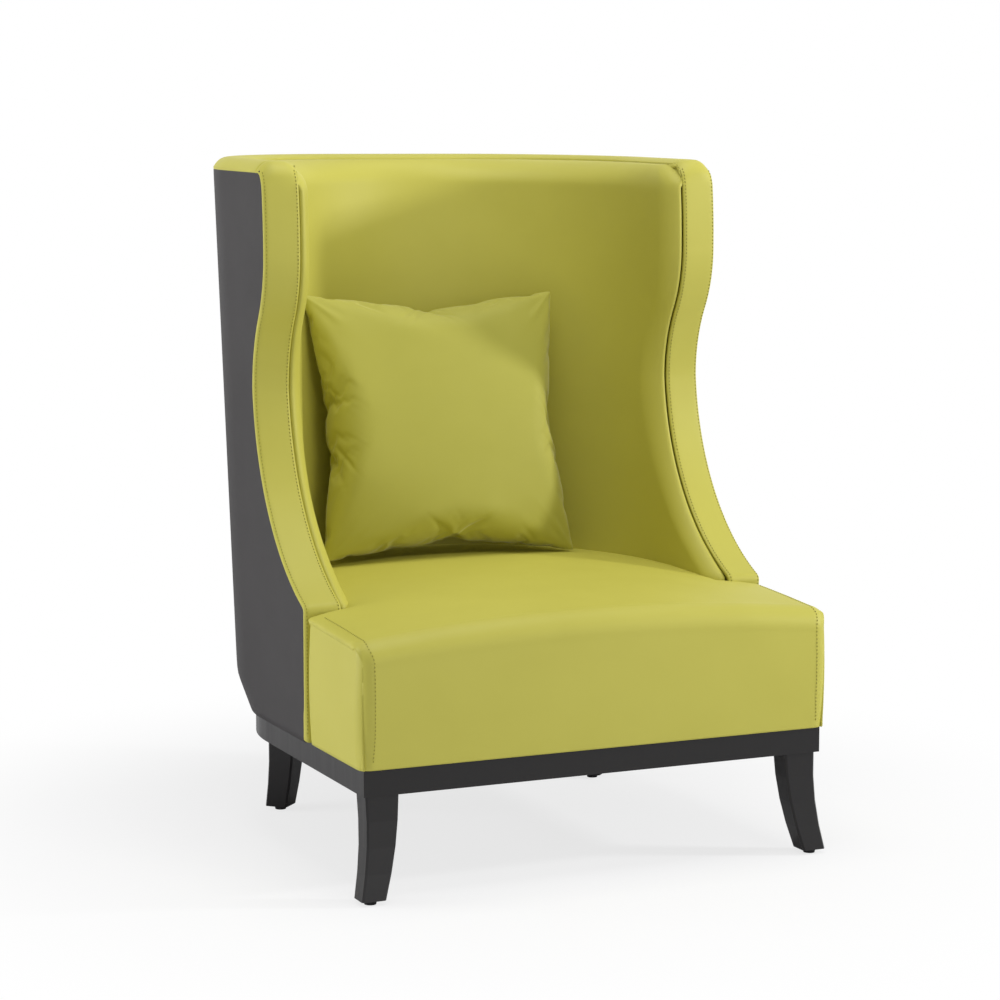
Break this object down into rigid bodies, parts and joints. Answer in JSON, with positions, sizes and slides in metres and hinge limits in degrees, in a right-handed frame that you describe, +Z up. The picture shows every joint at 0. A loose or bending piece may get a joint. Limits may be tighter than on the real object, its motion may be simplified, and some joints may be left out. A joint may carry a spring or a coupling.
{
  "type": "acoustic high back lounge chair",
  "caption": "Single-seat lounge chair with a tall wrap-around padded wall whose S-shaped wings screen the sitter, a bellied T-shaped seat, a loose back pillow and a black legged plinth.",
  "frame": {"origin": "on the floor, under the middle of the chair's outline box", "axes": "+Z up, the sitter faces -Y, +X is the sitter's left-hand side"},
  "size_m": [0.84, 0.9439, 1.1597],
  "materials": {
    "lime_leather": "smooth faux leather, satin",
    "charcoal_leather": "smooth charcoal faux leather, satin",
    "lime_cloth": "fine woven cloth with a soft sheen",
    "black_lacquer": "black satin lacquer on solid wood",
    "hardwood": "planed hardwood",
    "moulded_ply": "bent plywood",
    "foam": "open-cell foam",
    "wadding": "polyester wadding",
    "zinc_steel": "zinc plated",
    "black_pad": "moulded nylon pad",
    "webbing": "elastic upholstery webbing",
    "black_felt": "black non-woven cloth"
  },
  "bodies": {
    "chair": {"outer_cover": "charcoal_leather", "left_wing_border": "lime_leather", "right_wing_border": "lime_leather", "top_band": "lime_leather", "left_wing_rail": "hardwood", "right_wing_rail": "hardwood", "top_rail": "moulded_ply", "acoustic_foam": "foam", "inner_cover": "lime_leather", "left_seat_side_panel": "lime_leather", "right_seat_side_panel": "lime_leather", "seat_cover": "lime_leather", "seat_foam": "foam", "shell_screws": "zinc_steel", "outer_wadding": "wadding", "moulded_board": "moulded_ply", "frame_screws": "zinc_steel", "seat_front_rail": "hardwood", "seat_left_rail": "hardwood", "seat_right_rail": "hardwood", "seat_back_rail": "moulded_ply", "seat_cross_rail": "hardwood", "seat_webbing": "webbing", "plinth_front_rail": "black_lacquer", "plinth_left_rail": "black_lacquer", "plinth_right_rail": "black_lacquer", "plinth_back_rail": "black_lacquer", "front_left_leg": "black_lacquer", "front_right_leg": "black_lacquer", "rear_left_leg": "black_lacquer", "rear_right_leg": "black_lacquer", "leg_bolts": "zinc_steel", "leg_nuts": "zinc_steel", "glide_inserts": "zinc_steel", "front_corner_blocks": "hardwood", "rear_corner_blocks": "hardwood", "dust_cover": "black_felt"},
    "pillow": {"pillow_cover": "lime_cloth", "pillow_insert": "wadding"},
    "front_left_foot": {"front_left_glide": "black_pad"},
    "front_right_foot": {"front_right_glide": "black_pad"},
    "rear_left_foot": {"rear_left_glide": "black_pad"},
    "rear_right_foot": {"rear_right_glide": "black_pad"}
  },
  "joints": [
    {"name": "pillow_lift", "type": "slide", "parent": "chair", "child": "pillow", "axis": [0, 0, 1], "range_m": [0, 0.85]},
    {"name": "front_left_foot_screw", "type": "slide", "parent": "chair", "child": "front_left_foot", "axis": [0, 0, -1], "range_m": [0, 0.01]},
    {"name": "front_right_foot_screw", "type": "slide", "parent": "chair", "child": "front_right_foot", "axis": [0, 0, -1], "range_m": [0, 0.01]},
    {"name": "rear_left_foot_screw", "type": "slide", "parent": "chair", "child": "rear_left_foot", "axis": [0, 0, -1], "range_m": [0, 0.01]},
    {"name": "rear_right_foot_screw", "type": "slide", "parent": "chair", "child": "rear_right_foot", "axis": [0, 0, -1], "range_m": [0, 0.01]}
  ]
}
